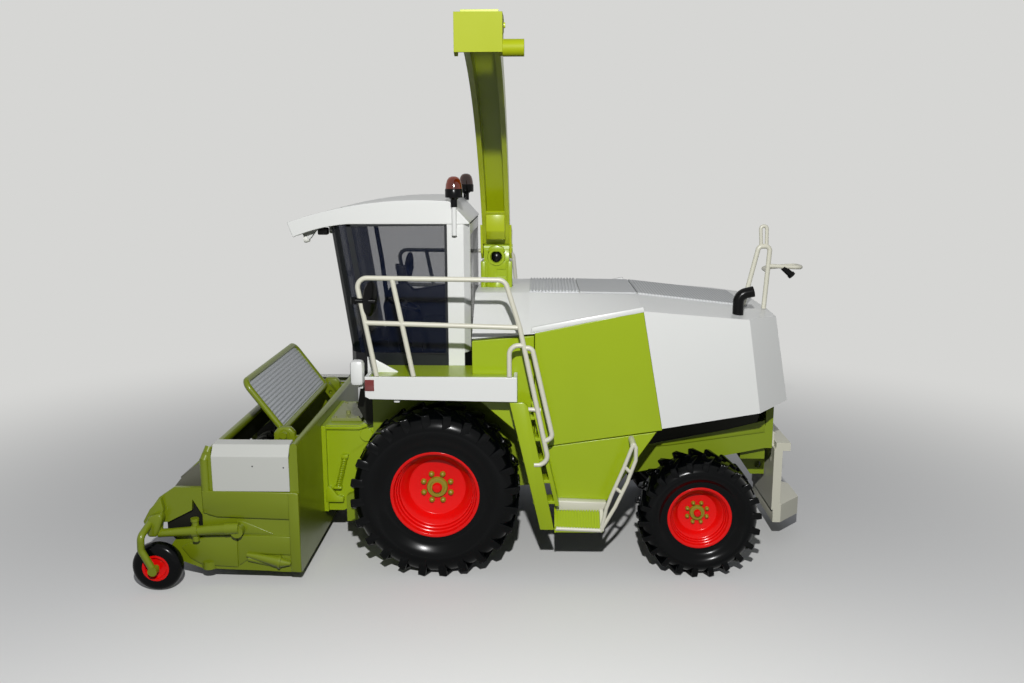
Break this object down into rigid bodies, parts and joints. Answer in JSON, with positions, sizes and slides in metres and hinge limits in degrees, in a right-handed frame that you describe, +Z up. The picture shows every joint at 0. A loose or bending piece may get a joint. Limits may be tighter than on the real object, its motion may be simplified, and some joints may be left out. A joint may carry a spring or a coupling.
{
  "type": "scale model forage harvester",
  "caption": "Die-cast scale model of a self-propelled forage harvester: cab, ribbed hood, swinging spout, wide pick-up header with guard, large front and small rear tyres.",
  "frame": {"origin": "on the ground, at the middle of the bounding box's base", "axes": "+X forward, the driving direction; +Y to the machine's left, the side the spout reaches to; +Z up"},
  "size_m": [0.2278, 0.1628, 0.1745],
  "materials": {
    "lime_paint": "gloss",
    "white_paint": "gloss",
    "cream_paint": "satin",
    "red_paint": "gloss",
    "grey_metal": "satin",
    "frame_paint": "satin",
    "steel": "satin",
    "tyre": "satin",
    "black_plastic": "satin",
    "grey_plastic": "satin",
    "clear_glass": "gloss",
    "amber_lamp": "gloss"
  },
  "bodies": {
    "machine": {"chassis": "frame_paint", "front_axle": "frame_paint", "rear_axle": "frame_paint", "hood_shell": "white_paint", "hood_carriers": "frame_paint", "side_panels": "lime_paint", "lower_panels": "lime_paint", "air_grille": "grey_plastic", "engine_cover": "grey_plastic", "radiator_screen": "grey_plastic", "cab_tub": "black_plastic", "cab_posts": "white_paint", "cab_windows": "clear_glass", "windscreen": "clear_glass", "cab_roof": "white_paint", "seat": "black_plastic", "steering_wheel": "black_plastic", "beacon_poles": "white_paint", "beacons": "amber_lamp", "mirrors": "black_plastic", "platform_skirts": "white_paint", "platform_decks": "lime_paint", "head_lamps": "white_paint", "railings": "cream_paint", "ladder": "lime_paint", "lower_step": "lime_paint", "rear_ladder": "cream_paint", "rear_rail": "cream_paint", "rear_lamp": "black_plastic", "exhaust": "black_plastic"},
    "front_wheel_left": {"front_left_rim": "red_paint", "front_left_tyre": "tyre"},
    "front_wheel_right": {"front_right_rim": "red_paint", "front_right_tyre": "tyre"},
    "knuckle_left": {"steering_knuckle_left": "frame_paint"},
    "knuckle_right": {"steering_knuckle_right": "frame_paint"},
    "rear_wheel_left": {"rear_left_rim": "red_paint", "rear_left_tyre": "tyre"},
    "rear_wheel_right": {"rear_right_rim": "red_paint", "rear_right_tyre": "tyre"},
    "header": {"feeder_housing": "lime_paint", "feeder_hatch": "lime_paint", "header_frame": "lime_paint", "end_covers": "white_paint", "gauge_arms": "lime_paint"},
    "auger": {"intake_auger": "lime_paint"},
    "reel": {"pickup_reel": "steel"},
    "guard": {"guard_frame": "lime_paint", "guard_sheet": "grey_plastic"},
    "gauge_wheel_left": {"gauge_left_disc": "red_paint", "gauge_left_tyre": "tyre"},
    "gauge_wheel_right": {"gauge_right_disc": "red_paint", "gauge_right_tyre": "tyre"},
    "spout_mount": {"spout_turret": "lime_paint"},
    "spout": {"spout_boom": "lime_paint"},
    "deflector": {"spout_flap": "lime_paint"}
  },
  "joints": [
    {"name": "front_wheel_left_spin", "type": "hinge", "parent": "machine", "child": "front_wheel_left", "pos_m": [0.01655, 0.01789, 0.0283], "axis": [0, 1, 0], "continuous": true},
    {"name": "front_wheel_right_spin", "type": "hinge", "parent": "machine", "child": "front_wheel_right", "pos_m": [0.01655, -0.05611, 0.0283], "axis": [0, 1, 0], "continuous": true},
    {"name": "steer_left", "type": "hinge", "parent": "machine", "child": "knuckle_left", "pos_m": [-0.07145, 0.00589, 0.0204], "axis": [0, 0, 1], "range_deg": [-15, 15]},
    {"name": "steer_right", "type": "hinge", "parent": "machine", "child": "knuckle_right", "pos_m": [-0.07145, -0.04411, 0.0204], "axis": [0, 0, 1], "range_deg": [-15, 15]},
    {"name": "rear_wheel_left_spin", "type": "hinge", "parent": "knuckle_left", "child": "rear_wheel_left", "pos_m": [-0.07145, 0.01789, 0.0204], "axis": [0, 1, 0], "continuous": true},
    {"name": "rear_wheel_right_spin", "type": "hinge", "parent": "knuckle_right", "child": "rear_wheel_right", "pos_m": [-0.07145, -0.05611, 0.0204], "axis": [0, 1, 0], "continuous": true},
    {"name": "header_lift", "type": "hinge", "parent": "machine", "child": "header", "pos_m": [0.03055, -0.01911, 0.036], "axis": [0, -1, 0], "range_deg": [0, 18]},
    {"name": "auger_spin", "type": "hinge", "parent": "header", "child": "auger", "pos_m": [0.07355, -0.01911, 0.0205], "axis": [0, 1, 0], "continuous": true},
    {"name": "reel_spin", "type": "hinge", "parent": "header", "child": "reel", "pos_m": [0.09405, -0.01911, 0.015], "axis": [0, 1, 0], "continuous": true},
    {"name": "guard_tilt", "type": "hinge", "parent": "header", "child": "guard", "pos_m": [0.06745, -0.01911, 0.0439], "axis": [0, -1, 0], "range_deg": [-45, 30]},
    {"name": "gauge_wheel_left_spin", "type": "hinge", "parent": "header", "child": "gauge_wheel_left", "pos_m": [0.10585, 0.03789, 0.0081], "axis": [0, 1, 0], "continuous": true},
    {"name": "gauge_wheel_right_spin", "type": "hinge", "parent": "header", "child": "gauge_wheel_right", "pos_m": [0.10585, -0.07611, 0.0081], "axis": [0, 1, 0], "continuous": true},
    {"name": "spout_swing", "type": "hinge", "parent": "machine", "child": "spout_mount", "pos_m": [-0.00255, -0.01911, 0.092], "axis": [0, 0, 1], "range_deg": [-10, 190]},
    {"name": "spout_lift", "type": "hinge", "parent": "spout_mount", "child": "spout", "pos_m": [-0.00255, -0.01791, 0.1062], "axis": [1, 0, 0], "range_deg": [-5, 10]},
    {"name": "deflector_tilt", "type": "hinge", "parent": "spout", "child": "deflector", "pos_m": [-0.00255, 0.07261, 0.17106], "axis": [1, 0, 0], "range_deg": [-45, 0]}
  ],
  "couplings": [
    {"joint": "steer_right", "follows": "steer_left", "ratio": 1}
  ]
}
